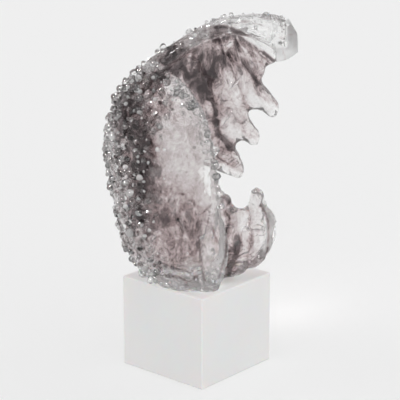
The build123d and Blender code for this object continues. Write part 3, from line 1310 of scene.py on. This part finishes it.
@dataclass
class PetalCoat(GranuleCoat):
    """The petal's coat, which leaves an oval and the foot's right nearly bare."""

    on_oval: float = 0.05
    foot_right: Ease = Ease(-36.0, -22.0, 0.0, 0.7)
    foot_top: Ease = Ease(100.0, 112.0, 1.0, 0.0)

    def cover(self, body: WaveBody) -> ndarray:
        """Finds where the petal's coat lies.

        Args:
            body: The wave.

        Returns:
            How thickly each vertex is coated, from 0 to 1.
        """
        x, z = body.flat().T
        around = self.on_oval + (1.0 - self.on_oval) * body.around_oval()
        return super().cover(body) * around * (1.0 - self.foot_right(x) * self.foot_top(z))


@dataclass
class BeadRow(GranuleCoat):
    """Clear beads along the petal's rim."""

    reach: float = 5.0
    facing: Ease = Ease(0.0, 0.3)
    start: Ease = Ease(160.0, 172.0)

    def cover(self, body: WaveBody) -> ndarray:
        """How thickly each vertex is beaded, from 0 to 1: along the rim alone."""
        rim = path_mask(body.flat(), RIM_PATH, self.reach)
        return body.on(PETAL) * self.facing(-body.normals[:, 1]) * rim * self.start(body.flat()[:, 1])


@dataclass(frozen=True)
class Lamp:
    """A far soft lamp: its turn in degrees, its strength and how wide it looks, in degrees.

    A lamp that isn't matt only makes glints on glass. One with a target lights that collection
    alone, and its light isn't passed on.
    """

    name: str
    turn: Point3
    strength: float
    width: float
    matt: bool = True
    target: str = ""


@dataclass
class Studio:
    """The pale floor, the soft light and the camera."""

    camera_at: Point3 = (3.03 * MM, -1.4368, 0.5964)
    pitch: float = 16.8
    lens: float = 144.0
    sensor: float = 36.0
    floor_radius: float = 12.0
    floor_sides: int = 96
    floor_colour: Colour = (0.93, 0.93, 0.93)
    paper: float = 0.863
    dome: float = 0.745
    shade: float = 0.03
    panels: float = 6.0
    panel_edge: Ease = Ease(-0.92, -0.55)
    ceiling: Ease = Ease(0.86, 0.93)
    lamps: tuple[Lamp, ...] = (
        Lamp("soft_key", (40.0, 0.0, 15.0), 0.75, 40.0),
        Lamp("glint", (48.0, 0.0, -30.0), 0.6, 7.0, matt=False),
        Lamp("back_glint", (-50.0, 0.0, 25.0), 0.2, 8.0, matt=False),
        Lamp("coat_glint", (50.0, 0.0, -25.0), 5.0, 16.0, matt=False, target="granules"),
    )

    def camera(self) -> None:
        """Sets the camera at the viewing angle."""
        data = bpy.data.cameras.new("studio_camera")
        data.lens = self.lens
        data.sensor_width = self.sensor
        camera = new_object("studio_camera", data)
        camera.location = self.camera_at
        camera.rotation_euler = (radians(90.0 - self.pitch), 0.0, 0.0)
        bpy.context.scene.camera = camera

    def floor(self) -> None:
        """Lays the floor."""
        work = bmesh.new()
        bmesh.ops.create_circle(work, cap_ends=True, segments=self.floor_sides, radius=self.floor_radius)
        mesh = finished_mesh(work, "studio_floor")
        material, tree, shader = new_material("studio_paper")
        tree.put(shader, Base_Color=rgba(self.floor_colour), Roughness=1.0, Specular_IOR_Level=0.0)
        mesh.materials.append(material)
        new_object("studio_floor", mesh)

    def world(self) -> None:
        """Lights the room: even for matt things, and panels with dark gaps between them for glass."""
        world = bpy.data.worlds.new("studio")
        bpy.context.scene.world = world
        world.use_nodes = True
        tree = Tree(world.node_tree)
        background = next(n for n in world.node_tree.nodes if n.type == "BACKGROUND")
        around = tree.add("ShaderNodeTexCoord").outputs["Generated"]
        way = tree.add("ShaderNodeSeparateXYZ", Vector=around)
        round_way = tree.math("ARCTAN2", way.outputs["X"], way.outputs["Y"])
        panel = tree.ramp(tree.math("COSINE", tree.math("MULTIPLY", round_way, self.panels)), self.panel_edge)
        lit = tree.math("MAXIMUM", panel, tree.ramp(way.outputs["Z"], self.ceiling))
        paper, shade, dome = (rgba((value,) * 3) for value in (self.paper, self.shade, self.dome))
        path = tree.add("ShaderNodeLightPath").outputs
        seen = tree.math("MAXIMUM", path["Is Transmission Ray"], path["Is Glossy Ray"])
        colour = tree.mix(seen, dome, tree.mix(lit, shade, paper))
        colour = tree.mix(path["Is Camera Ray"], colour, paper)
        tree.put(background, Color=colour, Strength=1.0)

    def light(self, lit: dict[str, list[Object]]) -> None:
        """Hangs the soft lamps.

        Args:
            lit: The pieces that lamps with a target light, by the target's name.
        """
        for name, pieces in lit.items():
            group = bpy.data.collections.new(name)
            for piece in pieces:
                group.objects.link(piece)
        for lamp in self.lamps:
            data = bpy.data.lights.new(lamp.name, "SUN")
            data.energy = lamp.strength
            data.angle = radians(lamp.width)
            data.use_shadow = False
            hung = new_object(lamp.name, data)
            hung.rotation_euler = [radians(v) for v in lamp.turn]
            hung.visible_diffuse = lamp.matt
            hung.visible_transmission = lamp.matt
            if lamp.target:
                data.cycles.max_bounces = 0
                hung.light_linking.receiver_collection = bpy.data.collections[lamp.target]

    def build(self) -> None:
        """Sets up the camera, the floor, the room's light and the view."""
        self.camera()
        self.floor()
        self.world()
        bpy.context.scene.view_settings.view_transform = "Standard"


CREST_THINNING = (Measure.ALONG, Ease(0.0, 30.0, 0.35, 0.1))
LIP_LIMITS = (
    (Measure.ALONG, Ease(30.0, 50.0, 0.0, 0.6)),
    (Measure.UP, Ease(100.0, 116.0, 1.0, 0.0)),
    (Measure.ALONG, Ease(60.0, 66.0, 1.0, 0.0)),
)
BACK_LIMITS = ((Measure.ALONG, Ease(-66.0, -40.0, 1.0, 0.04)),)
CREST_LIMITS = ((Measure.FACING_UP, Ease(0.25, 0.6)), CREST_THINNING)
COATS = [
    PetalCoat("petal_coat", "petal_granules", PETAL, 3),
    GranuleCoat("back_coat", "back_granules", BACK, 5, BACK_LIMITS),
    GranuleCoat("crest_coat", "crest_granules", CREST, 7, CREST_LIMITS),
    GranuleCoat("brow_coat", "brow_granules", BROW, 11, (CREST_THINNING,)),
    GranuleCoat("lip_coat", "lip_granules", LIP, 13, LIP_LIMITS, (GRIT,)),
    BeadRow("bead_row", "rim_beads", PETAL, 17, grains=(RIM_BEADS, BEADS, PEBBLES, MILKY_PEBBLES)),
]
GRANULES = {
    Tone.CLEAR: Granule("granule_clear", smoke_share=0.05),
    Tone.MILKY: Granule("granule_milky", smoke_share=0.05, transmission=0.6),
    Tone.SMOKED: Granule("granule_smoked", smoke_share=1.5),
}
NODE_FINISHES = {
    "plinth_block": FrostedGlass("frosted_glass_block"),
    "foot_bond": WorkedGlass("bond_film_clear", ripple=0.0),
}


def main() -> None:
    """Builds the studio and the pieces, and reports each of them."""
    logging.basicConfig(level=logging.INFO, format="%(message)s")
    groups = Groups()
    studio = Studio()
    studio.build()
    body = WaveBody()
    wave = body.build()
    body.dress(wave, groups)
    finishes = {tone: finish.material(groups) for tone, finish in GRANULES.items()}
    bed = GranuleBed(body, wave, granule_tree(), finishes)
    coats = [coat.build(bed) for coat in COATS]
    for piece in (wave, *coats):
        LOG.info("%s: %d faces", piece.name, len(piece.data.polygons))
    studio.light({"granules": coats})
    for node, finish in NODE_FINISHES.items():
        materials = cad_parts[node].data.materials
        materials.clear()
        materials.append(finish.material(groups))


if __name__ == "__main__":
    main()
